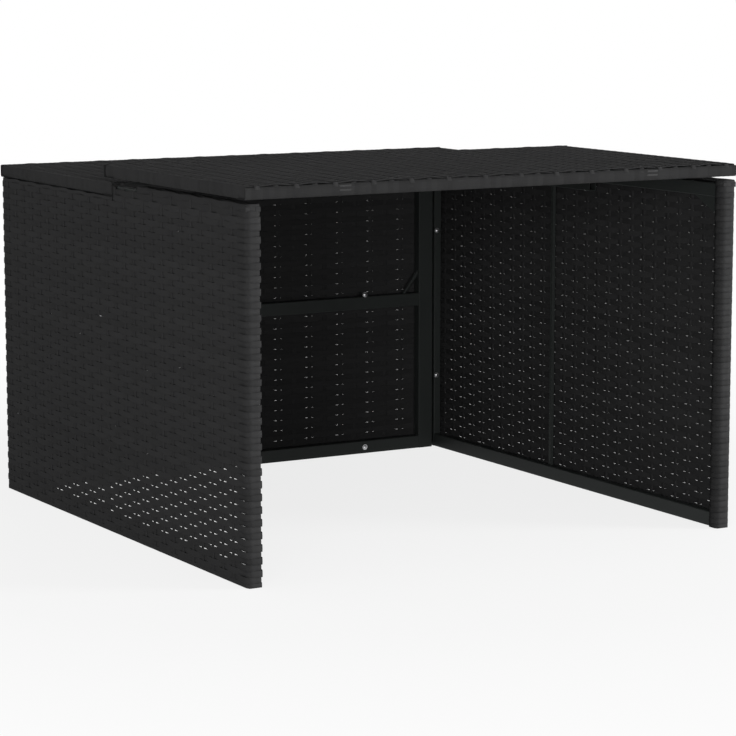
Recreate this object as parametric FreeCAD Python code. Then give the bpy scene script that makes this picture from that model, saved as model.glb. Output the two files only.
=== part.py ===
import FreeCAD, Part
import os

# Robot mower garage of woven synthetic rattan on steel tube frames.
# Millimetres, Z up. The open front faces -Y, X runs to the right of it.
# The origin is on the ground, in the middle of the footprint.

# Overall sizes
width = 750.0
depth = 770.0
wall_height = 480.0         # top of the front side walls and of the fixed rear roof
front_length = 385.0        # taller front part of the side walls, up to the rear roof
lid_overlap = 26.0          # how far the hinged lid reaches back over the rear roof
lid_gap = 5.0               # shadow gap between the lid and what lies under it

# Woven skin
weave = 5.0                 # thickness of the woven skin
wrap_round = 7.0            # rounding where the strands wrap round a tube
fit = 0.3                   # clearance between the skin and the tubes inside it
roof_gap = 0.6              # gap between the rear roof and the step of the side walls
back_rounding = 3.0         # outer edges of the back wall's skin
notch_length = 75.0         # bare stretch of the front top rails, next to the step

# Steel frames of the walls
tube = 12.0                 # depth of the side wall tubes
tube_wall = 1.2
tube_chamfer = 1.0          # stands for the rolled corners of a tube
bottom_rail_height = 20.0
rear_rail_height = 14.0     # top rails of the side walls under the rear roof
splice = 60.0               # how far these run on under the front top rails
middle_bar = 5.0
middle_bar_y = 46.0
back_post_width = 25.0
back_rail_height = 20.0
back_frame_depth = 15.0
mid_rail_height = 240.0     # centre of the back frame's middle rail

# Steel frames of the rear roof and of the lid
roof_rail_width = 20.0
roof_rail_height = 8.0
batten_offset = 245.0       # lid battens and hinges, from the middle

# Corner stiffeners
gusset_along = 60.0
gusset_down = 30.0
gusset_plate = 3.0
brace_rod = 6.0
brace_reach = 24.0
brace_rise = 31.0

# Hinges
leaf_length = 60.0
leaf_width = 22.0
leaf_plate = 2.0
knuckle_radius = 4.0
knuckle_count = 5
knuckle_gap = 0.4           # between neighbouring knuckles
pin_diameter = 4.0
pin_clearance = 0.3
pin_head_height = 1.5
pin_head_diameter = 7.0
hinge_lift = 0.5            # between the knuckles and the rear roof under them
hinge_back = 1.0            # between the knuckles and the lid's rear edge

# Modelling allowances
overcut = 1.0               # how far a cutter reaches past the face that it cuts
near = 0.01                 # an edge this close to a face lies in it

# Places worked out from the sizes
wall = 2 * weave + tube + 2 * fit
roof_thickness = 2 * weave + roof_rail_height + 2 * fit
half_width = width / 2
front = -depth / 2
back = depth / 2
step = front + front_length
roof_front = step + roof_gap
rear_height = wall_height - roof_thickness - fit
rear_rail_bottom = rear_height - weave - fit - rear_rail_height
lid_bottom = wall_height + lid_gap
lid_rear = step + lid_overlap
skin_inside = half_width - weave
inner_face = half_width - wall
pin_y = lid_rear + hinge_back + knuckle_radius
pin_z = wall_height + hinge_lift + knuckle_radius


def block(x0, x1, y0, y1, z0, z1):
    corner = FreeCAD.Vector(x0, y0, z0)
    return Part.makeBox(x1 - x0, y1 - y0, z1 - z0, corner)


def rounded_block(x0, x1, y0, y1, z0, z1, radius, keep):
    """Block with the edges rounded that keep(edge) picks."""
    body = block(x0, x1, y0, y1, z0, z1)
    edges = [edge for edge in body.Edges if keep(edge)]
    return body.makeFillet(radius, edges)


def edge_axis(edge):
    first = edge.Vertexes[0].Point
    last = edge.Vertexes[-1].Point
    along = last - first
    lengths = [abs(along.x), abs(along.y), abs(along.z)]
    return lengths.index(max(lengths))


def square_tube(x0, x1, y0, y1, z0, z1):
    """Hollow steel tube along the longest side of its box, open at both ends."""
    sides = [x1 - x0, y1 - y0, z1 - z0]
    axis = sides.index(max(sides))
    outer = block(x0, x1, y0, y1, z0, z1)
    outer = outer.makeChamfer(tube_chamfer, [e for e in outer.Edges if edge_axis(e) == axis])
    inset = [tube_wall, tube_wall, tube_wall]
    inset[axis] = -overcut
    bore = block(x0 + inset[0], x1 - inset[0], y0 + inset[1], y1 - inset[1],
                 z0 + inset[2], z1 - inset[2])
    return outer.cut(bore)


def to_left(shape):
    return shape.mirror(FreeCAD.Vector(0, 0, 0), FreeCAD.Vector(1, 0, 0))


def save(name, shape):
    os.makedirs("parts", exist_ok=True)
    shape.exportStep("parts/" + name + ".step")
    print(name, round(shape.Volume / 1000.0, 1), "cm3", len(shape.Solids), "solid(s)", shape.isValid())


# Side walls: right hand pieces, the left hand ones are their mirror images

def wall_block(y0, y1, height, outer_y):
    """Closed half of a side wall, rounded at its top and at its end outer_y."""
    def rounded(edge):
        at_end = all(abs(v.Point.y - outer_y) < near for v in edge.Vertexes)
        at_top = all(v.Point.z > height - near for v in edge.Vertexes)
        return (edge_axis(edge) == 2 and at_end) or (at_top and (at_end or edge_axis(edge) == 1))

    return rounded_block(inner_face, half_width, y0, y1, 0.0, height, wrap_round, rounded)


def stepped_cutter(x0, x1, end_inset):
    """Cutter with the inside height of the rear wall, and of the front wall before the step."""
    low = block(x0, x1, front + end_inset, back - end_inset, -overcut, rear_height - weave)
    high = block(x0, x1, front + end_inset, step - weave, -overcut, wall_height - weave)
    return low.fuse(high)


def side_skin():
    """Woven skin of a side wall, curled round both posts and over the top rails.

    Its top steps down under the rear roof. The front top rail is bare next to the step.
    """
    body = wall_block(front, step, wall_height, front).fuse(wall_block(step, back, rear_height, back))
    post_zone = weave + tube + 2 * fit
    body = body.cut(stepped_cutter(inner_face - overcut, skin_inside, post_zone))
    body = body.cut(stepped_cutter(inner_face + weave, skin_inside, weave))
    notch = block(inner_face - overcut, half_width + overcut, step - notch_length, step + overcut,
                  wall_height - weave, wall_height + overcut)
    return body.cut(notch).removeSplitter()


def side_tube(y0, y1, z0, z1):
    x1 = skin_inside - fit
    return square_tube(x1 - tube, x1, y0, y1, z0, z1)


def side_bar():
    """Slim upright bar against the skin, between the bottom rail and the rear top rail."""
    x1 = skin_inside - fit
    y0 = middle_bar_y - middle_bar / 2
    return block(x1 - middle_bar, x1, y0, y0 + middle_bar, bottom_rail_height, rear_rail_bottom)


def side_wall():
    """All pieces of one side wall, as (name, shape) pairs."""
    front_post = front + weave + fit
    rear_post = back - weave - fit - tube
    front_top = wall_height - weave - fit
    rear_top = rear_height - weave - fit
    rail_start = front_post + tube
    return [
        ("woven_panel", side_skin()),
        ("front_post", side_tube(front_post, rail_start, 0.0, front_top)),
        ("rear_post", side_tube(rear_post, rear_post + tube, 0.0, rear_top)),
        ("front_top_rail", side_tube(rail_start, step - weave - fit, rear_top, front_top)),
        ("rear_top_rail", side_tube(step - splice, rear_post, rear_rail_bottom, rear_top)),
        ("bottom_rail", side_tube(rail_start, rear_post, 0.0, bottom_rail_height)),
        ("middle_bar", side_bar()),
    ]


def side_gusset():
    """Triangular plate in the top front corner of a side wall's frame."""
    x1 = skin_inside - fit - (tube - gusset_plate) / 2
    y0 = front + weave + fit + tube
    z1 = rear_height - weave - fit
    points = [
        FreeCAD.Vector(x1, y0, z1),
        FreeCAD.Vector(x1, y0 + gusset_along, z1),
        FreeCAD.Vector(x1, y0, z1 - gusset_down),
    ]
    face = Part.Face(Part.makePolygon(points + points[:1]))
    return face.extrude(FreeCAD.Vector(-gusset_plate, 0, 0))


# Back wall

def back_frame_box(x0, x1, z0, z1):
    y1 = back - weave - fit
    return square_tube(x0, x1, y1 - back_frame_depth, y1, z0, z1)


def back_skin():
    edge = inner_face - fit
    return rounded_block(-edge, edge, back - weave, back, 0.0, rear_height, back_rounding,
                         lambda e: edge_axis(e) == 2 and e.Vertexes[0].Point.y > back - near)


def back_brace():
    """Short diagonal rod between the back post and the middle rail, cut flush with both."""
    y = back - weave - fit - back_frame_depth / 2
    corner_x = inner_face - fit - back_post_width
    corner_z = mid_rail_height + back_rail_height / 2
    run = FreeCAD.Vector(brace_reach, 0, brace_rise)
    spare = run * (brace_rod / run.Length)
    low = FreeCAD.Vector(corner_x - brace_reach, y, corner_z) - spare
    rod = Part.makeCylinder(brace_rod / 2, run.Length + 2 * brace_rod, low, run)
    keep = block(corner_x - 2 * brace_reach, corner_x, y - brace_rod, y + brace_rod,
                 corner_z, corner_z + 2 * brace_rise)
    return rod.common(keep)


# Rear roof and lid: trays of woven skin curled round a rectangle of flat tubes

def tray_skin(y0, y1, z0, z1):
    body = rounded_block(-half_width, half_width, y0, y1, z0, z1, wrap_round, lambda e: True)
    lip = weave + fit + roof_rail_width
    recess = block(-half_width + lip, half_width - lip, y0 + lip, y1 - lip, z0 - overcut, z1 - weave)
    cavity = block(-skin_inside, skin_inside, y0 + weave, y1 - weave, z0 + weave, z1 - weave)
    return body.cut(recess).cut(cavity)


def tray_frame(y0, y1, z0):
    """Front, rear, left and right flat tubes of a tray."""
    low = z0 + weave + fit
    high = low + roof_rail_height
    outer = skin_inside - fit
    inner = outer - roof_rail_width
    y_front = y0 + weave + fit
    y_rear = y1 - weave - fit
    front_inner = y_front + roof_rail_width
    rear_inner = y_rear - roof_rail_width
    return [
        ("front_rail", square_tube(-outer, outer, y_front, front_inner, low, high)),
        ("rear_rail", square_tube(-outer, outer, rear_inner, y_rear, low, high)),
        ("left_rail", square_tube(-outer, -inner, front_inner, rear_inner, low, high)),
        ("right_rail", square_tube(inner, outer, front_inner, rear_inner, low, high)),
    ]


def lid_batten():
    low = lid_bottom + weave + fit
    y_front = front + weave + fit + roof_rail_width
    y_rear = lid_rear - weave - fit - roof_rail_width
    x = batten_offset - roof_rail_width / 2
    return square_tube(x, x + roof_rail_width, y_front, y_rear, low, low + roof_rail_height)


# Hinges: closed butt hinges in the gap between the rear roof and the lid

def knuckle(index, radius, extra):
    """One knuckle of the hinge barrel, lengthened by extra at both ends."""
    pitch = leaf_length / knuckle_count
    start = batten_offset - leaf_length / 2 + index * pitch
    base = FreeCAD.Vector(start + knuckle_gap / 2 - extra, pin_y, pin_z)
    return Part.makeCylinder(radius, pitch - knuckle_gap + 2 * extra, base, FreeCAD.Vector(1, 0, 0))


def hinge_leaf(z0, first):
    """Leaf plate at height z0 with every second knuckle, starting at first."""
    x0 = batten_offset - leaf_length / 2
    clear_y = pin_y - knuckle_radius - hinge_back
    leaf = block(x0, x0 + leaf_length, clear_y - leaf_width, clear_y, z0, z0 + leaf_plate)
    pitch = leaf_length / knuckle_count
    for index in range(first, knuckle_count, 2):
        start = x0 + index * pitch + knuckle_gap / 2
        tab = block(start, start + pitch - knuckle_gap, clear_y, pin_y, z0, z0 + leaf_plate)
        leaf = leaf.fuse(tab).fuse(knuckle(index, knuckle_radius, 0.0))
    bore = Part.makeCylinder(pin_diameter / 2 + pin_clearance, leaf_length + 2 * overcut,
                             FreeCAD.Vector(x0 - overcut, pin_y, pin_z), FreeCAD.Vector(1, 0, 0))
    return leaf.cut(bore).removeSplitter()


def hinge_pin():
    x0 = batten_offset - leaf_length / 2
    along = FreeCAD.Vector(1, 0, 0)
    reach = leaf_length + 2 * pin_clearance
    pin = Part.makeCylinder(pin_diameter / 2, reach, FreeCAD.Vector(x0 - pin_clearance, pin_y, pin_z), along)
    for start in (x0 - pin_clearance - pin_head_height, x0 + leaf_length + pin_clearance):
        head = Part.makeCylinder(pin_head_diameter / 2, pin_head_height,
                                 FreeCAD.Vector(start, pin_y, pin_z), along)
        pin = pin.fuse(head)
    return pin.removeSplitter()


def pair(shape):
    """The right hand piece and its mirror image, as separate solids of one node."""
    return Part.makeCompound([shape, to_left(shape)])


def build():
    for name, shape in side_wall():
        save("right_" + name, shape)
        save("left_" + name, to_left(shape))
    save("corner_gussets", pair(side_gusset()))

    edge = inner_face - fit
    post = back_frame_box(edge - back_post_width, edge, 0.0, rear_height)
    save("back_right_post", post)
    save("back_left_post", to_left(post))
    span = edge - back_post_width
    rails = {
        "back_top_rail": rear_height - back_rail_height,
        "back_middle_rail": mid_rail_height - back_rail_height / 2,
        "back_bottom_rail": 0.0,
    }
    for name, z0 in rails.items():
        save(name, back_frame_box(-span, span, z0, z0 + back_rail_height))
    save("back_woven_panel", back_skin())
    save("back_braces", pair(back_brace()))

    roof_bottom = wall_height - roof_thickness
    save("roof_woven_panel", tray_skin(roof_front, back, roof_bottom, wall_height))
    for name, shape in tray_frame(roof_front, back, roof_bottom):
        save("roof_" + name, shape)

    save("lid_woven_panel", tray_skin(front, lid_rear, lid_bottom, lid_bottom + roof_thickness))
    for name, shape in tray_frame(front, lid_rear, lid_bottom):
        save("lid_" + name, shape)
    batten = lid_batten()
    save("lid_right_batten", batten)
    save("lid_left_batten", to_left(batten))

    save("hinge_roof_leaves", pair(hinge_leaf(wall_height, 0)))
    save("hinge_lid_leaves", pair(hinge_leaf(lid_bottom - leaf_plate, 1)))
    save("hinge_pins", pair(hinge_pin()))


build()
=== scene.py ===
# Robot mower garage of woven synthetic rattan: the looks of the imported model, in metres.
# The open front faces -Y. Wefts are the long strands, stakes are what they are woven on.
import math
import bpy
from mathutils import Matrix, Vector


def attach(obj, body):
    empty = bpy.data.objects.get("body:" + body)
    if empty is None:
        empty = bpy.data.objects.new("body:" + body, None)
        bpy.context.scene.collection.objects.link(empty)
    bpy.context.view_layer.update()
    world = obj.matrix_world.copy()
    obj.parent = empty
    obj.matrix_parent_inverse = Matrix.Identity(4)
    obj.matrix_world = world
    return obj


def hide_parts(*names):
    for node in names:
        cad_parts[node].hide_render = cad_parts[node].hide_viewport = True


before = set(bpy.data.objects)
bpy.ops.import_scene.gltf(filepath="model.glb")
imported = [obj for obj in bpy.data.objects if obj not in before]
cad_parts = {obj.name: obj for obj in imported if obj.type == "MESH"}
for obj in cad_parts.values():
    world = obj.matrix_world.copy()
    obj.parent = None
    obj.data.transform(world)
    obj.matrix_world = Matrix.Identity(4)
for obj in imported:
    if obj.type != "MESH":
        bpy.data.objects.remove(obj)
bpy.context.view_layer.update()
print("frame loaded:", len(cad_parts), "nodes")


# Small helpers for node trees

def addNode(tree, kind, inputs=None, **settings):
    made = tree.nodes.new(kind)
    for name, value in settings.items():
        setattr(made, name, value)
    for key, value in (inputs or {}).items():
        setInput(tree, made.inputs[key], value)
    return made


def setInput(tree, socket, value):
    if isinstance(value, bpy.types.NodeSocket):
        tree.links.new(value, socket)
    else:
        socket.default_value = value


def maths(tree, operation, *values):
    made = tree.nodes.new("ShaderNodeMath")
    made.operation = operation
    for socket, value in zip(made.inputs, values):
        setInput(tree, socket, value)
    return made.outputs[0]


def vectorMaths(tree, operation, *values):
    made = tree.nodes.new("ShaderNodeVectorMath")
    made.operation = operation
    for socket, value in zip(made.inputs, values):
        setInput(tree, socket, value)
    return made.outputs[0]


def scaleVector(tree, vector, factor):
    made = addNode(tree, "ShaderNodeVectorMath", {0: vector, "Scale": factor}, operation="SCALE")
    return made.outputs[0]


def addSockets(tree, inputs, outputs):
    for name, kind in inputs:
        tree.interface.new_socket(name, in_out="INPUT", socket_type="NodeSocket" + kind)
    for name, kind in outputs:
        tree.interface.new_socket(name, in_out="OUTPUT", socket_type="NodeSocket" + kind)
    source = tree.nodes.new("NodeGroupInput").outputs
    sink = tree.nodes.new("NodeGroupOutput").inputs
    return source, sink


def typedSocket(sockets, name, kind):
    return [s for s in sockets if s.name == name and s.type == kind][0]


def combine(tree, x=0.0, y=0.0, z=0.0):
    return addNode(tree, "ShaderNodeCombineXYZ", {0: x, 1: y, 2: z}).outputs[0]


def mapRange(tree, value, toMin, toMax, fromMin=0.0, fromMax=1.0):
    return addNode(tree, "ShaderNodeMapRange",
                   {"Value": value, "From Min": fromMin, "From Max": fromMax, "To Min": toMin,
                    "To Max": toMax}).outputs[0]


def storeFloat(tree, geometry, name, value, domain="POINT"):
    return addNode(tree, "GeometryNodeStoreNamedAttribute",
                   {"Geometry": geometry, "Name": name, "Value": value},
                   data_type="FLOAT", domain=domain).outputs[0]


def noise(tree, vector, scale, detail, roughness=0.5):
    return addNode(tree, "ShaderNodeTexNoise", {"Vector": vector, "Scale": scale, "Detail": detail,
                                                "Roughness": roughness}).outputs["Fac"]


def spreadAround(tree, value, spread):
    # a value from 0 to 1, moved to lie on both sides of 0
    return maths(tree, "MULTIPLY", maths(tree, "SUBTRACT", value, 0.5), spread)


def mixColours(tree, dark, light, share):
    mix = addNode(tree, "ShaderNodeMix", data_type="RGBA")
    setInput(tree, typedSocket(mix.inputs, "A", "RGBA"), dark)
    setInput(tree, typedSocket(mix.inputs, "B", "RGBA"), light)
    setInput(tree, mix.inputs[0], share)
    return typedSocket(mix.outputs, "Result", "RGBA")


# Shader groups

skin = {
    "grooveWidth": 0.0009, "grooveHeight": 0.5, "bumpStrength": 0.3, "bumpDistance": 0.0002,
    # streaks: noise per metre across and along the strand, moved on by its tone
    "streakAcross": 1400.0, "streakAlong": 60.0, "streakByTone": 40.0, "streakDetail": 2.0,
    "streakRoughness": 0.6, "streakHeight": 0.8, "streakShade": 0.45, "toneShade": 0.55,
    "patchScale": 9.0, "patchDetail": 3.0, "patchSpread": 0.16, "toneSpread": 0.1,
}


def makeStrandSkin():
    # extruded plastic strand: length grooves, a shade for each strand, dull and shiny patches
    tree = bpy.data.node_groups.new("strandSkin", "ShaderNodeTree")
    source, sink = addSockets(
        tree,
        [("Dark", "Color"), ("Light", "Color"), ("Groove Width", "Float"), ("Roughness", "Float")],
        [("Color", "Color"), ("Roughness", "Float"), ("Height", "Float")])
    across, along, tone = [addNode(tree, "ShaderNodeAttribute", attribute_name=name).outputs["Fac"]
                           for name in ("across", "along", "tone")]
    turns = maths(tree, "DIVIDE", across, source["Groove Width"])
    grooves = maths(tree, "SINE", maths(tree, "MULTIPLY", turns, 2 * math.pi))
    place = combine(tree, maths(tree, "MULTIPLY", across, skin["streakAcross"]),
                    maths(tree, "MULTIPLY", along, skin["streakAlong"]),
                    maths(tree, "MULTIPLY", tone, skin["streakByTone"]))
    streaks = noise(tree, place, 1.0, skin["streakDetail"], skin["streakRoughness"])
    spot = addNode(tree, "ShaderNodeTexCoord").outputs["Object"]
    patches = noise(tree, spot, skin["patchScale"], skin["patchDetail"])
    shade = maths(tree, "ADD", maths(tree, "MULTIPLY", tone, skin["toneShade"]),
                  maths(tree, "MULTIPLY", streaks, skin["streakShade"]))
    tree.links.new(mixColours(tree, source["Dark"], source["Light"], shade), sink["Color"])
    rough = maths(tree, "ADD", spreadAround(tree, patches, skin["patchSpread"]),
                  spreadAround(tree, tone, skin["toneSpread"]))
    tree.links.new(maths(tree, "ADD", rough, source["Roughness"]), sink["Roughness"])
    height = maths(tree, "ADD", maths(tree, "MULTIPLY", grooves, skin["grooveHeight"]),
                   maths(tree, "MULTIPLY", streaks, skin["streakHeight"]))
    tree.links.new(height, sink["Height"])
    return tree


grain = {"detail": 2.0, "patchScale": 14.0, "patchDetail": 3.0}


def makeFineGrain():
    # even texture of powder coat or plating
    tree = bpy.data.node_groups.new("fineGrain", "ShaderNodeTree")
    source, sink = addSockets(
        tree,
        [("Dark", "Color"), ("Light", "Color"), ("Grain Scale", "Float"), ("Stretch", "Vector"),
         ("Roughness", "Float"), ("Roughness Spread", "Float")],
        [("Color", "Color"), ("Roughness", "Float"), ("Height", "Float")])
    spot = addNode(tree, "ShaderNodeTexCoord").outputs["Object"]
    spot = vectorMaths(tree, "MULTIPLY", spot, source["Stretch"])
    fine = noise(tree, spot, source["Grain Scale"], grain["detail"])
    patches = noise(tree, spot, grain["patchScale"], grain["patchDetail"])
    tree.links.new(mixColours(tree, source["Dark"], source["Light"], patches), sink["Color"])
    spread = spreadAround(tree, fine, source["Roughness Spread"])
    tree.links.new(maths(tree, "ADD", spread, source["Roughness"]), sink["Roughness"])
    tree.links.new(fine, sink["Height"])
    return tree


strandSkin = makeStrandSkin()
fineGrain = makeFineGrain()


# Materials

def makeMaterial(name, group, values, constants, bumpStrength, bumpDistance):
    material = bpy.data.materials.new(name)
    material.use_nodes = True
    tree = material.node_tree
    shader = tree.nodes["Principled BSDF"]
    for key, value in constants.items():
        shader.inputs[key].default_value = value
    effect = tree.nodes.new("ShaderNodeGroup")
    effect.node_tree = group
    for key, value in values.items():
        effect.inputs[key].default_value = value
    tree.links.new(effect.outputs["Color"], shader.inputs["Base Color"])
    tree.links.new(effect.outputs["Roughness"], shader.inputs["Roughness"])
    bump = addNode(tree, "ShaderNodeBump", {"Strength": bumpStrength, "Distance": bumpDistance,
                                            "Height": effect.outputs["Height"]})
    tree.links.new(bump.outputs["Normal"], shader.inputs["Normal"])
    return material


def makeStrandMaterial(name, dark, light, roughness, specular):
    return makeMaterial(
        name, strandSkin,
        {"Dark": dark, "Light": light, "Groove Width": skin["grooveWidth"], "Roughness": roughness},
        {"Specular IOR Level": specular}, skin["bumpStrength"], skin["bumpDistance"])


charcoalStrand = makeStrandMaterial(
    "charcoalStrand", (0.022, 0.022, 0.0223, 1), (0.032, 0.032, 0.0325, 1),
    roughness=0.62, specular=0.005)

# a darker copy of the strand colours for the ribs on the front and rear edges: painted shade that dims
# these front-lit faces
shadedRimStrand = makeStrandMaterial(
    "shadedRimStrand", (0.0165, 0.0165, 0.0167, 1), (0.024, 0.024, 0.0243, 1),
    roughness=0.62, specular=0.005)

bindingStrand = makeStrandMaterial(
    "bindingStrand", (0.024, 0.024, 0.0244, 1), (0.032, 0.032, 0.0325, 1),
    roughness=0.5, specular=0.05)

powderCoat = makeMaterial(
    "powderCoat", fineGrain,
    {"Dark": (0.0175, 0.0198, 0.0190, 1), "Light": (0.0235, 0.0265, 0.0255, 1), "Grain Scale": 900.0,
     "Stretch": (1, 1, 1), "Roughness": 0.55, "Roughness Spread": 0.15},
    {"Specular IOR Level": 0.15}, bumpStrength=0.2, bumpDistance=0.0002)

zincPlate = makeMaterial(
    "zincPlate", fineGrain,
    {"Dark": (0.42, 0.42, 0.43, 1), "Light": (0.56, 0.56, 0.57, 1), "Grain Scale": 500.0,
     "Stretch": (0.08, 1, 1), "Roughness": 0.36, "Roughness Spread": 0.2},
    {"Metallic": 1.0}, bumpStrength=0.12, bumpDistance=0.0001)
print("materials made")


# Woven strands

strand = {
    "width": 0.0086, "thickness": 0.0011, "rowPitch": 0.00803,
    "stakeWidth": 0.0075, "stakeThickness": 0.0007, "stakePitch": 0.02825,
    "wave": 0.0009,             # how far a weft swings out and in
    # how far it swings up and down, which opens the pinholes
    "sway": {"left": 0.00056, "right": -0.00025, "back": -0.0003, "roof": 0.00018, "lid": 0.00018},
    "middle": 0.0016,           # centre line of the weave, below its outer face
    "corner": 0.0026,           # bend of a strand's centre line round a tube
    "cornerPoints": 5,
    "stakeSteps": 5,            # points from one stake to the next
    "profile": 8,               # corners of the cross-section
    "flatness": 0.16,           # a small power keeps the strand flat up to its edges
    "looseness": 0.0003, "looseScale": 55.0,
    "crease": math.radians(52),
    "settle": 0.011,            # length over which a weft starts to wave after a wrapped tube
}
middle = strand["middle"]
strandInputs = [(name, "Float") for name in (
    "Corner Radius", "Step", "Stake Pitch", "Phase Origin", "Wave", "Sway", "Still End", "End Wave",
    "End Width", "End Round", "Odd Stakes", "Strand Width", "Strand Thickness")]


def makeStrandShape():
    # one strand along the guide, waving over and under the stakes
    tree = bpy.data.node_groups.new("strandShape", "GeometryNodeTree")
    source, sink = addSockets(tree, [("Guide", "Geometry"), ("Side", "Float")] + strandInputs,
                              [("Strand", "Geometry")])
    curve = addNode(tree, "GeometryNodeMeshToCurve", {"Mesh": source["Guide"]}).outputs[0]
    curve = addNode(tree, "GeometryNodeFilletCurve",
                    {"Curve": curve, "Count": strand["cornerPoints"], "Radius": source["Corner Radius"]},
                    mode="POLY").outputs[0]
    curve = addNode(tree, "GeometryNodeResampleCurve", {"Curve": curve, "Length": source["Step"]},
                    mode="LENGTH").outputs[0]
    length = addNode(tree, "GeometryNodeSplineParameter").outputs["Length"]
    curve = storeFloat(tree, curve, "along", length)
    curve = addNode(tree, "GeometryNodeSetCurveNormal", {"Curve": curve}, mode="Z_UP").outputs[0]
    tangent = addNode(tree, "GeometryNodeInputTangent").outputs[0]
    outward = vectorMaths(tree, "NORMALIZE", vectorMaths(tree, "CROSS_PRODUCT", tangent, (0, 0, 1)))
    turns = maths(tree, "DIVIDE", maths(tree, "SUBTRACT", length, source["Phase Origin"]),
                  source["Stake Pitch"])
    phase = maths(tree, "COSINE", maths(tree, "MULTIPLY", turns, math.pi))
    # the ends that wrap a tube lie still and a little narrower
    total = addNode(tree, "GeometryNodeSplineLength").outputs["Length"]
    nearest = maths(tree, "MINIMUM", length, maths(tree, "SUBTRACT", total, length))
    free = mapRange(tree, nearest, 0.0, 1.0, source["Still End"],
                    maths(tree, "ADD", source["Still End"], strand["settle"]))
    radius = mapRange(tree, free, source["End Width"], 1.0)
    curve = addNode(tree, "GeometryNodeSetCurveRadius", {"Curve": curve, "Radius": radius}).outputs[0]
    curled = maths(tree, "MULTIPLY", maths(tree, "SUBTRACT", 1.0, free), source["End Round"])
    curve = storeFloat(tree, curve, "curled", curled)
    waveShare = mapRange(tree, free, source["End Wave"], 1.0)
    swing = maths(tree, "MULTIPLY", source["Wave"], maths(tree, "MULTIPLY", phase, waveShare))
    # a row sways at every stake, or only at the odd ones
    even = maths(tree, "MULTIPLY", maths(tree, "MAXIMUM", phase, 0.0), source["Odd Stakes"])
    lift = maths(tree, "MULTIPLY", maths(tree, "SUBTRACT", phase, even), free)
    upward = combine(tree, z=maths(tree, "MULTIPLY", source["Sway"], lift))
    offset = vectorMaths(tree, "ADD", scaleVector(tree, outward, swing), upward)
    curve = addNode(tree, "GeometryNodeSetPosition",
                    {"Geometry": curve, "Offset": scaleVector(tree, offset, source["Side"])}).outputs[0]
    # a flat profile, turned so that its width stands along the rows
    circle = addNode(tree, "GeometryNodeCurvePrimitiveCircle",
                     {"Resolution": strand["profile"], "Radius": 1.0}).outputs[0]
    corner = addNode(tree, "ShaderNodeSeparateXYZ",
                     {0: addNode(tree, "GeometryNodeInputPosition").outputs[0]}).outputs
    halfWidth = maths(tree, "MULTIPLY", source["Strand Width"], 0.5)
    halfDepth = maths(tree, "MULTIPLY", source["Strand Thickness"], -0.5)
    flat = maths(tree, "POWER", maths(tree, "ABSOLUTE", corner[0]), strand["flatness"])
    flat = maths(tree, "MULTIPLY", flat, maths(tree, "SIGN", corner[0]))
    across = maths(tree, "MULTIPLY", flat, halfWidth)
    circle = storeFloat(tree, circle, "across", across)
    place = combine(tree, maths(tree, "MULTIPLY", corner[1], halfDepth), across)
    circle = addNode(tree, "GeometryNodeSetPosition", {"Geometry": circle, "Position": place}).outputs[0]
    solid = addNode(tree, "GeometryNodeCurveToMesh", {"Curve": curve, "Profile Curve": circle,
                                                      "Fill Caps": True}).outputs[0]
    tree.links.new(solid, sink["Strand"])
    return tree


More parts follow.
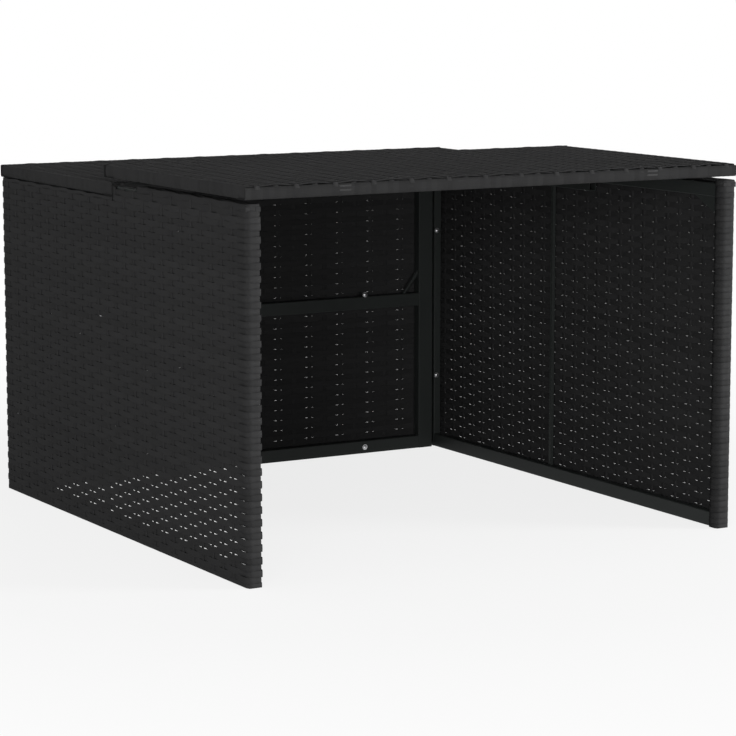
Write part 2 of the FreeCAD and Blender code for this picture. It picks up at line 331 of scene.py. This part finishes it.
def makeStrandRows(strandShape):
    # rows of strands above each other: every second one waves the other way
    tree = bpy.data.node_groups.new("strandRows", "GeometryNodeTree")
    tree.is_modifier = True
    source, sink = addSockets(
        tree,
        [("Guide", "Geometry")] + strandInputs + [
            ("Rows", "Float"), ("Row Pitch", "Float"), ("Looseness", "Float"), ("Seed", "Int"),
            ("Material", "Material")],
        [("Rows", "Geometry")])
    gather = tree.nodes.new("GeometryNodeJoinGeometry")
    half = maths(tree, "MULTIPLY", source["Rows"], 0.5)
    stride = combine(tree, z=maths(tree, "MULTIPLY", source["Row Pitch"], 2.0))
    for side, rounding, start in ((1.0, "CEIL", 0.0), (-1.0, "FLOOR", 1.0)):
        shape = tree.nodes.new("GeometryNodeGroup")
        shape.node_tree = strandShape
        for name in ["Guide"] + [item[0] for item in strandInputs]:
            tree.links.new(source[name], shape.inputs[name])
        shape.inputs["Side"].default_value = side
        first = combine(tree, z=maths(tree, "MULTIPLY", source["Row Pitch"], start))
        line = addNode(tree, "GeometryNodeMeshLine",
                       {"Count": maths(tree, rounding, half), "Start Location": first, "Offset": stride},
                       mode="OFFSET").outputs[0]
        rows = addNode(tree, "GeometryNodeInstanceOnPoints", {"Points": line,
                                                              "Instance": shape.outputs[0]}).outputs[0]
        shade = tree.nodes.new("FunctionNodeRandomValue")
        shade.data_type = "FLOAT"
        setInput(tree, shade.inputs["Seed"], maths(tree, "ADD", source["Seed"], start))
        rows = storeFloat(tree, rows, "tone", typedSocket(shade.outputs, "Value", "VALUE"), "INSTANCE")
        tree.links.new(rows, gather.inputs[0])
    solid = addNode(tree, "GeometryNodeRealizeInstances", {"Geometry": gather.outputs[0]}).outputs[0]
    place = addNode(tree, "GeometryNodeInputPosition").outputs[0]
    jitter = addNode(tree, "ShaderNodeTexNoise",
                     {"Vector": place, "W": source["Seed"], "Scale": strand["looseScale"], "Detail": 1.0},
                     noise_dimensions="4D").outputs["Color"]
    shift = scaleVector(tree, vectorMaths(tree, "SUBTRACT", jitter, (0.5, 0.5, 0.5)), source["Looseness"])
    solid = addNode(tree, "GeometryNodeSetPosition", {"Geometry": solid, "Offset": shift}).outputs[0]
    solid = addNode(tree, "GeometryNodeSetShadeSmooth", {"Geometry": solid}).outputs[0]
    # the strand's two long edges stay crisp, so its face looks flat, but not where it curls
    bend = addNode(tree, "GeometryNodeInputMeshEdgeAngle").outputs["Unsigned Angle"]
    curled = addNode(tree, "GeometryNodeInputNamedAttribute", {"Name": "curled"},
                     data_type="FLOAT").outputs[0]
    soft = maths(tree, "MAXIMUM", maths(tree, "LESS_THAN", bend, strand["crease"]),
                 maths(tree, "GREATER_THAN", curled, 0.5))
    solid = addNode(tree, "GeometryNodeSetShadeSmooth", {"Geometry": solid, "Shade Smooth": soft},
                    domain="EDGE").outputs[0]
    solid = addNode(tree, "GeometryNodeSetMaterial", {"Geometry": solid,
                                                      "Material": source["Material"]}).outputs[0]
    tree.links.new(solid, sink["Rows"])
    return tree


strandRows = makeStrandRows(makeStrandShape())


def filletedLength(points, radius):
    # length of a path whose right-angled corners are rounded
    total = sum((Vector(b) - Vector(a)).length for a, b in zip(points, points[1:]))
    return total - (len(points) - 2) * (2 - math.pi / 2) * radius


def runNodes(mesh, group, values):
    # what the node group makes of a mesh, as a plain mesh
    holder = bpy.data.objects.new(mesh.name, mesh)
    bpy.context.collection.objects.link(holder)
    modifier = holder.modifiers.new(group.name, "NODES")
    modifier.node_group = group
    names = {item.name: item.identifier for item in group.interface.items_tree
             if item.in_out == "INPUT"}
    for name, value in values.items():
        modifier[names[name]] = value
    graph = bpy.context.evaluated_depsgraph_get()
    made = bpy.data.meshes.new_from_object(holder.evaluated_get(graph), depsgraph=graph)
    bpy.data.objects.remove(holder)
    bpy.data.meshes.remove(mesh)
    return made


def strandMesh(points, place, **values):
    # rows of strands along points (x, y), stacked along z and then put in place
    guide = bpy.data.meshes.new("guide")
    guide.from_pydata([(x, y, 0.0) for x, y in points], [(i, i + 1) for i in range(len(points) - 1)], [])
    mesh = runNodes(guide, strandRows, {
        "Corner Radius": strand["corner"], "Step": strand["stakePitch"] / strand["stakeSteps"],
        "Stake Pitch": strand["stakePitch"], "Phase Origin": 0.0, "Wave": 0.0, "Sway": 0.0,
        "Still End": 0.0, "End Wave": 1.0, "End Width": 1.0, "End Round": 0.0, "Odd Stakes": 0.0,
        "Strand Width": strand["width"], "Strand Thickness": strand["thickness"], "Rows": 1.0,
        "Row Pitch": strand["rowPitch"], "Looseness": strand["looseness"], "Seed": 1,
        "Material": charcoalStrand, **values})
    mesh.transform(place)
    return mesh


def stakeAxes(start):
    # x up, y inwards, z back along the panel from its last stake
    return axes((start, 0, 0), (0, 0, 1), (0, 1, 0), (-1, 0, 0))


def stakeMesh(points, place, count, pitch, step, seed, **values):
    return strandMesh(points, place, Rows=float(count), Seed=seed,
                      **{"Row Pitch": pitch, "Step": step, "Strand Width": strand["stakeWidth"],
                         "Strand Thickness": strand["stakeThickness"], **values})


def joinMeshes(name, meshes):
    parts = []
    for mesh in meshes:
        part = bpy.data.objects.new(name, mesh)
        bpy.context.collection.objects.link(part)
        parts.append(part)
    with bpy.context.temp_override(active_object=parts[0], object=parts[0], selected_objects=parts,
                                   selected_editable_objects=parts):
        bpy.ops.object.join()
    parts[0].name = name
    parts[0].data.name = name
    return parts[0]


def axes(origin, x, y, z):
    turn = Matrix((x, y, z)).transposed()
    assert abs(turn.determinant() - 1) < 1e-6
    return Matrix.Translation(origin) @ turn.to_4x4()


# Side walls. In a panel's own axes x runs along it, y goes inwards from its outer face, z is up.

sides = {"left": -1, "right": 1}
# the narrow rows at the foot and under the rear top edge, of the back wall too
narrow = {"low": 0.0034, "lowWidth": 0.0058, "high": 0.4582, "highWidth": 0.0048}
sideWall = {
    "outer": 0.375, "front": -0.385, "rear": 0.385, "step": 0.0, "stepGap": 0.003,
    "frontTop": 0.480, "rearTop": 0.4611, "notch": 0.075, "deep": 0.0232, "lip": 0.0176,
    "tuck": 0.0006, "firstRow": 0.010, "fullRows": 56, "stillEnd": 0.052, "endWidth": 0.87,
    "stakeAt": 0.0238, "stakesBefore": 13, "stakesAfter": 12, "stakeFoot": 0.003,
    "stakeTuck": 0.0015, "stakeStep": 0.0075, "bareRail": 0.0055,
    "seeds": {"left": 11, "right": 47},
}
# wefts on the top of the front part
cap = {"inset": 0.0043, "tail": 0.0095, "depth": 0.0010, "rows": 3, "pitch": 0.0070, "width": 0.0070,
       "wave": 0.0004}


def sidePath(side, path):
    # path holds (y, depth) points from front to rear; the left wall's x runs from rear to front
    points = [(sides[side] * y, depth) for y, depth in path]
    return points if side == "right" else points[::-1]


def sidePlace(side):
    sign = sides[side]
    return axes((sign * sideWall["outer"], 0, 0), (0, sign, 0), (-sign, 0, 0), (0, 0, 1))


def sideRows(side, path, count, height, seed, **values):
    w = sideWall
    points = sidePath(side, path)
    stakeAt = sides[side] * w["stakeAt"]
    # the wave is counted from one stake, which may lie before the row's start
    lead = [p for p in points if p[1] == middle and p[0] < stakeAt]
    if lead:
        before = points[:points.index(lead[-1]) + 1] + [(stakeAt, middle)]
        origin = filletedLength(before, strand["corner"])
    else:
        origin = stakeAt - points[0][0]
    place = sidePlace(side) @ Matrix.Translation((0, 0, height))
    return strandMesh(points, place, Rows=float(count), Seed=seed,
                      **{"Phase Origin": origin, "Wave": strand["wave"], "Sway": -strand["sway"][side],
                         "Still End": w["stillEnd"], "End Width": w["endWidth"], "End Round": 1.0,
                         **values})


def capRows(side, seed):
    # from the notch to the front, and down behind the curled wefts
    w = sideWall
    sign = sides[side]
    place = axes((sign * (w["outer"] - cap["inset"]), 0, w["frontTop"]),
                 (0, sign, 0), (0, 0, -1), (-sign, 0, 0))
    front = w["front"] + middle
    points = sidePath(side, [(front, cap["tail"]), (front, cap["depth"]), (-w["notch"], cap["depth"])])
    return strandMesh(points, place, Rows=float(cap["rows"]), Seed=seed,
                      **{"Row Pitch": cap["pitch"], "Strand Width": cap["width"], "Wave": cap["wave"],
                         "Phase Origin": abs(points[0][0] - sign * w["stakeAt"])})


def sideStakes(side, seed):
    # stakes run up the panel and fold over the top rail; next to the step they end at the bare rail
    w = sideWall
    groups = {"front": [], "notch": [], "rear": []}
    for k in range(-w["stakesBefore"], w["stakesAfter"] + 1):
        y = w["stakeAt"] + k * strand["stakePitch"]
        part = "rear" if y > w["step"] else "notch" if y > -w["notch"] else "front"
        groups[part].append(y)
    tops = {"front": w["frontTop"] - middle, "notch": w["frontTop"] - w["bareRail"],
            "rear": w["rearTop"] - middle}
    meshes = []
    for index, (part, ys) in enumerate(groups.items()):
        points = [(w["stakeFoot"], middle), (tops[part], middle)]
        if part != "notch":
            points.append((tops[part], w["deep"] - w["stakeTuck"]))
        start = max(sides[side] * y for y in ys)
        meshes.append(stakeMesh(points, sidePlace(side) @ stakeAxes(start), len(ys),
                                strand["stakePitch"], w["stakeStep"], seed + index))
    return meshes


def makeSideWall(side):
    w = sideWall
    inner = w["deep"] - w["tuck"]
    front, rear, step = w["front"] + middle, w["rear"] - middle, w["step"] - middle
    curlFront = [(w["front"] + w["lip"], inner), (front, inner), (front, middle)]
    curlRear = [(rear, middle), (rear, inner), (w["rear"] - w["lip"], inner)]
    seed = w["seeds"][side]
    rise = w["firstRow"] + w["fullRows"] * strand["rowPitch"]
    meshes = [
        sideRows(side, curlFront + curlRear, w["fullRows"], w["firstRow"], seed),
        sideRows(side, curlFront + curlRear, 1, narrow["low"], seed + 1,
                 **{"Strand Width": narrow["lowWidth"], "Wave": 0.0, "Sway": 0.0}),
        sideRows(side, [(w["step"] + w["stepGap"], middle)] + curlRear, 1, narrow["high"], seed + 2,
                 **{"Strand Width": narrow["highWidth"]}),
        sideRows(side, curlFront + [(step, middle), (step, inner)], 2, rise, seed + 3),
        sideRows(side, curlFront + [(-w["notch"], middle)], 1, rise + 2 * strand["rowPitch"], seed + 4),
        capRows(side, seed + 5),
    ]
    meshes += sideStakes(side, seed + 6)
    panel = joinMeshes(side + "_weave", meshes)
    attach(panel, "shell")
    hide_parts(side + "_woven_panel")
    return panel


for side in sides:
    panel = makeSideWall(side)
    print(panel.name, "made,", len(panel.data.polygons), "faces")


# Back wall

backWall = {
    "edge": 0.3521, "rear": 0.385, "top": 0.4611, "tuck": 0.0009, "tuckDepth": 0.0048, "corner": 0.002,
    "firstRow": 0.010, "rows": 56, "seed": 83, "stakes": 25, "stakePitch": 0.02753,
    "stakeFoot": 0.003, "stakeTuck": 0.001, "stakeStep": 0.009, "stakeSeed": 89,
}


def makeBackWall():
    w = backWall
    place = axes((0, w["rear"], 0), (-1, 0, 0), (0, -1, 0), (0, 0, 1))
    end = w["edge"] - w["tuck"]
    points = [(-end, w["tuckDepth"]), (-end, middle), (end, middle), (end, w["tuckDepth"])]
    shape = {"Corner Radius": w["corner"], "Wave": strand["wave"], "Sway": -strand["sway"]["back"],
             "Phase Origin": filletedLength(points[:2] + [(0.0, middle)], w["corner"]),
             "Stake Pitch": w["stakePitch"], "Step": w["stakePitch"] / strand["stakeSteps"],
             "Odd Stakes": 1.0}
    rows = [(w["firstRow"], w["rows"], strand["width"]), (narrow["low"], 1, narrow["lowWidth"]),
            (narrow["high"], 1, narrow["highWidth"])]
    meshes = []
    for index, (height, count, wide) in enumerate(rows):
        meshes.append(strandMesh(points, place @ Matrix.Translation((0, 0, height)), Rows=float(count),
                                 Seed=w["seed"] + index, **{**shape, "Strand Width": wide}))
    first = (w["stakes"] - 1) / 2 * w["stakePitch"]
    points = [(w["stakeFoot"], middle), (w["top"] - w["stakeTuck"], middle)]
    meshes.append(stakeMesh(points, place @ stakeAxes(first), w["stakes"], w["stakePitch"],
                            w["stakeStep"], w["stakeSeed"]))
    panel = joinMeshes("back_weave", meshes)
    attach(panel, "shell")
    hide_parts("back_woven_panel")
    return panel


panel = makeBackWall()
print(panel.name, "made,", len(panel.data.polygons), "faces")


# Rear roof and lid: wefts run across and wrap the side rails, short ribs wrap the front and rear rails

tray = {
    "half": 0.375, "deep": 0.0186, "lip": 0.0256, "tuck": 0.0009, "edgeRow": 0.0082,
    "stillEnd": 0.040, "endWave": 0.15, "endWidth": 0.925,
    "stakes": 27, "stakePitch": 0.02753, "stakeStep": 0.0065, "stakeCorner": 0.0022,
    # every second stake's end lies over the ribs, the others' under them: depth, and how far down
    "stakeEnds": ((strand["stakeThickness"] / 2, 0.0066), (0.0043, 0.009)),
}
rib = {
    "end": 0.0047, "depth": 0.0010, "tuck": 0.0006, "width": 0.0089, "step": 0.0032, "corner": 0.0018,
    # where a rib starts, below the top, and how far it is tucked in there
    "front": (0.0037, 0.0031), "rear": (0.0013, 0.0042),
}
trays = {
    "roof": {"body": "shell", "node": "roof_woven_panel", "front": 0.0006, "rear": 0.385, "top": 0.480,
             "seed": 131},
    "lid": {"body": "lid", "node": "lid_woven_panel", "front": -0.385, "rear": 0.026, "top": 0.5036,
            "seed": 173},
}


def trayWefts(name):
    t = trays[name]
    half = tray["half"]
    inner = tray["deep"] - tray["tuck"]
    place = axes((0, 0, t["top"]), (1, 0, 0), (0, 0, -1), (0, 1, 0))
    points = [(-half + tray["lip"], inner), (-half + middle, inner), (-half + middle, middle),
              (half - middle, middle), (half - middle, inner), (half - tray["lip"], inner)]
    span = t["rear"] - t["front"] - 2 * tray["edgeRow"]
    count = round(span / strand["rowPitch"]) + 1
    start = Matrix.Translation((0, 0, t["front"] + tray["edgeRow"]))
    return strandMesh(points, place @ start, Rows=float(count), Seed=t["seed"],
                      **{"Row Pitch": span / (count - 1),
                         "Phase Origin": filletedLength(points[:3] + [(0.0, middle)], strand["corner"]),
                         "Stake Pitch": tray["stakePitch"],
                         "Step": tray["stakePitch"] / strand["stakeSteps"],
                         "Wave": strand["wave"], "Sway": -strand["sway"][name],
                         "Still End": tray["stillEnd"], "End Wave": tray["endWave"],
                         "End Width": tray["endWidth"]})


def edgeAxes(t, atRear, x):
    # x down from the top, y inwards from that edge, z along the edge
    if atRear:
        return axes((-x, t["rear"], t["top"]), (0, 0, -1), (0, -1, 0), (-1, 0, 0))
    return axes((x, t["front"], t["top"]), (0, 0, -1), (0, 1, 0), (1, 0, 0))


def trayStakes(t):
    pitch = tray["stakePitch"]
    long = t["rear"] - t["front"]
    meshes = []
    for index, (edge, low) in enumerate(tray["stakeEnds"]):
        points = [(low, edge), (middle, edge), (middle, long - edge), (low, long - edge)]
        count = (tray["stakes"] + 1 - index) // 2
        meshes.append(stakeMesh(points, edgeAxes(t, False, -(count - 1) * pitch), count, 2 * pitch,
                                tray["stakeStep"], t["seed"] + 3 + index,
                                **{"Corner Radius": tray["stakeCorner"]}))
    return meshes


def trayRibs(t):
    run = 2 * (tray["half"] - rib["end"])
    count = round(run / strand["rowPitch"]) + 1
    low = tray["deep"] - rib["tuck"]
    meshes = []
    for atRear, edge in ((False, "front"), (True, "rear")):
        top, behind = rib[edge]
        points = [(top, behind), (top, rib["depth"]), (low, rib["depth"]), (low, tray["lip"])]
        # the ribs take the darker strand colours, which are painted shade
        meshes.append(strandMesh(points, edgeAxes(t, atRear, -run / 2), Rows=float(count),
                                 Seed=t["seed"] + 7 + atRear,
                                 **{"Row Pitch": run / (count - 1), "Step": rib["step"],
                                    "Corner Radius": rib["corner"], "Strand Width": rib["width"],
                                    "Material": shadedRimStrand}))
    return meshes


def makeTray(name):
    t = trays[name]
    meshes = [trayWefts(name)] + trayStakes(t) + trayRibs(t)
    panel = joinMeshes(name + "_weave", meshes)
    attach(panel, t["body"])
    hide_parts(t["node"])
    return panel


for name in trays:
    panel = makeTray(name)
    print(panel.name, "made,", len(panel.data.polygons), "faces")


# Bolts, hinge screws and the strands that tie the lid to its battens

# places in mm on the right half, which the left half mirrors
leafScrews = (223.0, 245.0, 267.0)
bolts = {
    "frame": {"body": "shell", "radius": 0.0033, "height": 0.0022, "washer": 0.0043,
              "washerHeight": 0.0009, "facing": (0, -1, 0),
              "places": [(361.4, 367.7, 347.8), (361.4, 367.7, 115.0), (227.1, 364.7, 253.1),
                         (227.1, 364.7, 10.0)]},
    "roofLeaf": {"body": "shell", "radius": 0.0027, "height": 0.0003, "washer": 0.0030,
                 "washerHeight": 0.0001, "facing": (0, 0, 1),
                 "places": [(x, 11.0, 482.0) for x in leafScrews]},
    "lidLeaf": {"body": "lid", "radius": 0.0027, "height": 0.0003, "washer": 0.0030,
                "washerHeight": 0.0001, "facing": (0, 0, -1),
                "places": [(x, 11.0, 483.0) for x in leafScrews]},
}


def makeBoltHeads():
    # one bolt head on its washer at every point, standing along the given direction
    tree = bpy.data.node_groups.new("boltHeads", "GeometryNodeTree")
    tree.is_modifier = True
    source, sink = addSockets(
        tree,
        [("Places", "Geometry"), ("Facing", "Vector"), ("Head Radius", "Float"),
         ("Head Height", "Float"), ("Washer Radius", "Float"), ("Washer Height", "Float"),
         ("Material", "Material")],
        [("Heads", "Geometry")])
    washer = addNode(tree, "GeometryNodeMeshCylinder",
                     {"Vertices": 24, "Radius": source["Washer Radius"],
                      "Depth": source["Washer Height"]}).outputs["Mesh"]
    ball = addNode(tree, "GeometryNodeMeshUVSphere",
                   {"Segments": 20, "Rings": 12, "Radius": 1.0}).outputs[0]
    size = combine(tree, source["Head Radius"], source["Head Radius"], source["Head Height"])
    head = addNode(tree, "GeometryNodeTransform", {"Geometry": ball, "Scale": size}).outputs[0]
    head = addNode(tree, "GeometryNodeSetShadeSmooth", {"Geometry": head}).outputs[0]
    # the washer stands on the point, and the head's middle is as high as the washer's
    up = combine(tree, z=maths(tree, "MULTIPLY", source["Washer Height"], 0.5))
    gather = tree.nodes.new("GeometryNodeJoinGeometry")
    for solid in (washer, head):
        moved = addNode(tree, "GeometryNodeSetPosition", {"Geometry": solid, "Offset": up}).outputs[0]
        tree.links.new(moved, gather.inputs[0])
    turn = addNode(tree, "FunctionNodeAlignRotationToVector", {"Vector": source["Facing"]},
                   axis="Z").outputs[0]
    points = addNode(tree, "GeometryNodeMeshToPoints", {"Mesh": source["Places"]}).outputs[0]
    heads = addNode(tree, "GeometryNodeInstanceOnPoints", {"Points": points, "Rotation": turn,
                                                           "Instance": gather.outputs[0]}).outputs[0]
    solid = addNode(tree, "GeometryNodeRealizeInstances", {"Geometry": heads}).outputs[0]
    solid = addNode(tree, "GeometryNodeSetMaterial", {"Geometry": solid,
                                                      "Material": source["Material"]}).outputs[0]
    tree.links.new(solid, sink["Heads"])
    return tree


boltHeads = makeBoltHeads()


def addBolts(name):
    b = bolts[name]
    spots = bpy.data.meshes.new("spots")
    spots.from_pydata([(side * x / 1000, y / 1000, z / 1000)
                       for x, y, z in b["places"] for side in sides.values()], [], [])
    mesh = runNodes(spots, boltHeads, {
        "Facing": b["facing"], "Head Radius": b["radius"], "Head Height": b["height"],
        "Washer Radius": b["washer"], "Washer Height": b["washerHeight"], "Material": zincPlate})
    made = bpy.data.objects.new(name + "_bolts", mesh)
    bpy.context.collection.objects.link(made)
    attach(made, b["body"])


for name in bolts:
    addBolts(name)
print("bolts made")


binding = {
    "at": 0.2345, "length": 0.019, "top": 0.0062, "pitch": 0.0052, "rows": 2, "width": 0.0024,
    "depth": 0.0006, "tuck": 0.0030, "corner": 0.0012, "step": 0.003, "seed": 211,
}


def makeBindings():
    # short strands across the front ribs of the lid, one pair before each batten
    b = binding
    t = trays["lid"]
    points = [(0, b["tuck"]), (0, b["depth"]), (b["length"], b["depth"]), (b["length"], b["tuck"])]
    meshes = []
    for side in sides.values():
        place = axes((side * b["at"] - b["length"] / 2, t["front"], t["top"] - b["top"]),
                     (1, 0, 0), (0, 1, 0), (0, 0, 1))
        meshes.append(strandMesh(points, place, Rows=float(b["rows"]), Seed=b["seed"] + side,
                                 **{"Row Pitch": -b["pitch"], "Strand Width": b["width"],
                                    "Corner Radius": b["corner"], "Step": b["step"],
                                    "Material": bindingStrand}))
    made = joinMeshes("lid_bindings", meshes)
    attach(made, "lid")
    print(made.name, "made,", len(made.data.polygons), "faces")


makeBindings()


# Steel frames and hinges keep their modelled shapes

def paint(node, material):
    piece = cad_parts[node]
    for slot in piece.material_slots:
        slot.link = "OBJECT"
        slot.material = material


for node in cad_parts:
    if node.startswith("hinge_"):
        paint(node, zincPlate)
    elif not node.endswith("woven_panel"):
        paint(node, powderCoat)
print("frames painted")


# Floor, light and camera

studio = {
    "floorSize": 60.0, "floorColour": (0.82, 0.82, 0.82, 1), "floorRoughness": 0.9,
    # the floor's own white rises to 1 between these distances, so its far part meets the background
    "fadeStart": 0.75, "fadeEnd": 1.8, "floorGlow": 0.82,
    "worldStrength": 0.45,
    "lamps": [
        # name, place, target, size, watts
        ("rightKey", (3.9, -2.85, 0.75), (0.0, -0.1, 0.3), 1.5, 305.0),
        ("leftFill", (-3.4, -3.9, 0.8), (0.0, 0.0, 0.25), 1.8, 104.0),
        ("sideFill", (-4.6, -0.2, 0.9), (0.0, 0.0, 0.25), 1.8, 18.0),
        ("frontFill", (-0.6, -4.9, 0.6), (0.0, 0.0, 0.25), 1.4, 36.0),
    ],
}


def whiteRays(tree):
    # 1 for the rays that see the background white, 0 for those that light the object
    path = tree.nodes.new("ShaderNodeLightPath")
    seen = maths(tree, "MAXIMUM", path.outputs["Is Camera Ray"], path.outputs["Is Glossy Ray"])
    return maths(tree, "MAXIMUM", seen, path.outputs["Is Transmission Ray"])


def makeFloor():
    half = studio["floorSize"] / 2
    mesh = bpy.data.meshes.new("floor")
    mesh.from_pydata([(-half, -half, 0), (half, -half, 0), (half, half, 0), (-half, half, 0)],
                     [], [(0, 1, 2, 3)])
    floor = bpy.data.objects.new("floor", mesh)
    bpy.context.collection.objects.link(floor)
    material = bpy.data.materials.new("paleFloor")
    material.use_nodes = True
    tree = material.node_tree
    shader = tree.nodes["Principled BSDF"]
    shader.inputs["Base Color"].default_value = studio["floorColour"]
    shader.inputs["Roughness"].default_value = studio["floorRoughness"]
    shader.inputs["Specular IOR Level"].default_value = 0.0
    glow = addNode(tree, "ShaderNodeEmission", {"Color": (1, 1, 1, 1), "Strength": 1.0})
    spot = addNode(tree, "ShaderNodeTexCoord").outputs["Object"]
    away = addNode(tree, "ShaderNodeVectorMath", {0: spot}, operation="LENGTH").outputs["Value"]
    fade = mapRange(tree, away, studio["floorGlow"], 1.0, studio["fadeStart"], studio["fadeEnd"])
    share = maths(tree, "MULTIPLY", whiteRays(tree), fade)
    mix = addNode(tree, "ShaderNodeMixShader", {0: share, 1: shader.outputs[0], 2: glow.outputs[0]})
    tree.links.new(mix.outputs[0], tree.nodes["Material Output"].inputs["Surface"])
    mesh.materials.append(material)


def makeWorld():
    world = bpy.data.worlds.new("studioWorld")
    bpy.context.scene.world = world
    world.use_nodes = True
    tree = world.node_tree
    backdrop = tree.nodes["Background"]
    backdrop.inputs["Color"].default_value = (1, 1, 1, 1)
    low = studio["worldStrength"]
    strength = maths(tree, "ADD", maths(tree, "MULTIPLY", whiteRays(tree), 1.0 - low), low)
    tree.links.new(strength, backdrop.inputs["Strength"])


def makeLamps():
    for name, place, target, size, watts in studio["lamps"]:
        data = bpy.data.lights.new(name, "AREA")
        data.shape = "DISK"
        data.size = size
        data.energy = watts
        lamp = bpy.data.objects.new(name, data)
        lamp.location = place
        lamp.rotation_euler = (Vector(target) - Vector(place)).to_track_quat("-Z", "Y").to_euler()
        bpy.context.collection.objects.link(lamp)


photoView = {"lens": 134.52, "sensor": 36.0, "place": (-1.92345, -3.34881, 0.77943), "down": 8.5188,
             "turn": -30.1446}


def makeCamera():
    data = bpy.data.cameras.new("photoView")
    data.lens = photoView["lens"]
    data.sensor_width = photoView["sensor"]
    data.sensor_fit = "HORIZONTAL"
    camera = bpy.data.objects.new("photoView", data)
    camera.location = photoView["place"]
    camera.rotation_euler = (math.radians(90 - photoView["down"]), 0, math.radians(photoView["turn"]))
    bpy.context.collection.objects.link(camera)
    bpy.context.scene.camera = camera


makeFloor()
makeWorld()
makeLamps()
makeCamera()
bpy.context.scene.view_settings.view_transform = "Standard"
print("studio set up")
